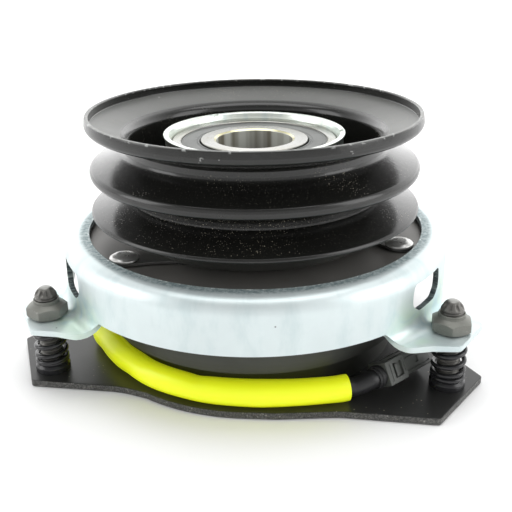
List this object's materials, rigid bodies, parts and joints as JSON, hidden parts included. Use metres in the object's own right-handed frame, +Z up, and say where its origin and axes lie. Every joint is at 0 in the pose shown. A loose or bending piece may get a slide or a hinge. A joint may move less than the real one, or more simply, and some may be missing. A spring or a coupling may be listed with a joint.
{
  "type": "electromagnetic clutch",
  "caption": "Electromagnetic clutch-brake with a stepped belt pulley on a ball bearing, a zinc brake plate on sprung studs and a coil lead with a plug.",
  "frame": {"origin": "centre of the rotor hub's shaft bore at its lower end, level with the mounting plate's underside", "axes": "+Z up along the shaft axis, from the mounting plate to the pulley; one stud stands on +Y"},
  "size_m": [0.1734, 0.1636, 0.0911],
  "materials": {
    "black_plate": "semi-gloss black",
    "field_steel": "black oxide",
    "bobbin_plastic": "moulded nylon",
    "copper_wire": "enamelled copper wire",
    "potting": "potting resin",
    "bearing_steel": "ground bearing steel",
    "seal_rubber": "moulded seal",
    "spring_steel": "blued spring steel",
    "phosphate_steel": "phosphate",
    "black_steel": "black oiled",
    "black_rubber": "moulded rubber",
    "yellow_sleeve": "satin vinyl",
    "black_cable": "satin heat-shrink",
    "plug_plastic": "moulded plastic",
    "brass_terminal": "stamped",
    "machined_steel": "turned",
    "black_paint": "gloss black paint",
    "zinc_plate": "bright zinc plate",
    "rivet_steel": "bright",
    "armature_iron": "dark ground iron",
    "friction": "pressed lining"
  },
  "bodies": {
    "field": {"mounting_plate": "black_plate", "field_shell": "field_steel", "coil_bobbin": "bobbin_plastic", "coil_winding": "copper_wire", "potting_ring": "potting", "field_bearing_outer": "bearing_steel", "field_bearing_seals": "seal_rubber", "field_snap_ring": "spring_steel", "gap_studs": "phosphate_steel", "spring_seats": "black_steel", "gap_springs": "black_steel", "lead_relief": "black_rubber", "lead_sleeve": "yellow_sleeve", "lead_cable": "black_cable", "plug_boot": "black_rubber", "plug_housing": "plug_plastic", "plug_latch": "plug_plastic", "plug_terminals": "brass_terminal"},
    "rotor": {"rotor_hub": "machined_steel", "rotor_disc": "field_steel", "spacer_sleeve": "machined_steel", "field_bearing_inner": "bearing_steel", "pulley_bearing_inner": "bearing_steel"},
    "field_cage": {"field_bearing_balls": "bearing_steel", "field_bearing_cage": "brass_terminal"},
    "pulley": {"flange_top": "black_paint", "flange_mid": "black_paint", "flange_bottom": "black_paint", "pulley_drum": "black_paint", "pulley_web": "black_paint", "bearing_housing": "zinc_plate", "pulley_bearing_outer": "bearing_steel", "pulley_bearing_seals": "seal_rubber", "drive_plate": "black_steel", "pulley_rivets": "rivet_steel", "leaf_springs": "spring_steel"},
    "pulley_cage": {"pulley_bearing_balls": "bearing_steel", "pulley_bearing_cage": "machined_steel"},
    "armature": {"armature_disc": "armature_iron", "armature_rivets": "rivet_steel"},
    "brake": {"brake_plate": "zinc_plate", "brake_lining": "friction", "gap_nuts": "phosphate_steel"}
  },
  "joints": [
    {"name": "rotor_spin", "type": "hinge", "parent": "field", "child": "rotor", "pos_m": [0, 0, 0], "axis": [0, 0, 1], "continuous": true},
    {"name": "pulley_spin", "type": "hinge", "parent": "rotor", "child": "pulley", "pos_m": [0, 0, 0.0717], "axis": [0, 0, 1], "continuous": true},
    {"name": "field_cage_spin", "type": "hinge", "parent": "field", "child": "field_cage", "pos_m": [0, 0, 0.0175], "axis": [0, 0, 1], "continuous": true},
    {"name": "pulley_cage_spin", "type": "hinge", "parent": "rotor", "child": "pulley_cage", "pos_m": [0, 0, 0.0717], "axis": [0, 0, 1], "continuous": true},
    {"name": "armature_pull", "type": "slide", "parent": "pulley", "child": "armature", "axis": [0, 0, -1], "range_m": [0, 0.00045], "stiffness_N_per_m": 20000, "springref_m": -0.0005, "deforming": ["leaf_springs"]},
    {"name": "brake_adjust", "type": "slide", "parent": "field", "child": "brake", "axis": [0, 0, 1], "range_m": [0, 0.0015], "deforming": ["gap_springs"]}
  ],
  "couplings": [
    {"joint": "field_cage_spin", "follows": "rotor_spin", "ratio": 0.415},
    {"joint": "pulley_cage_spin", "follows": "pulley_spin", "ratio": 0.609}
  ]
}
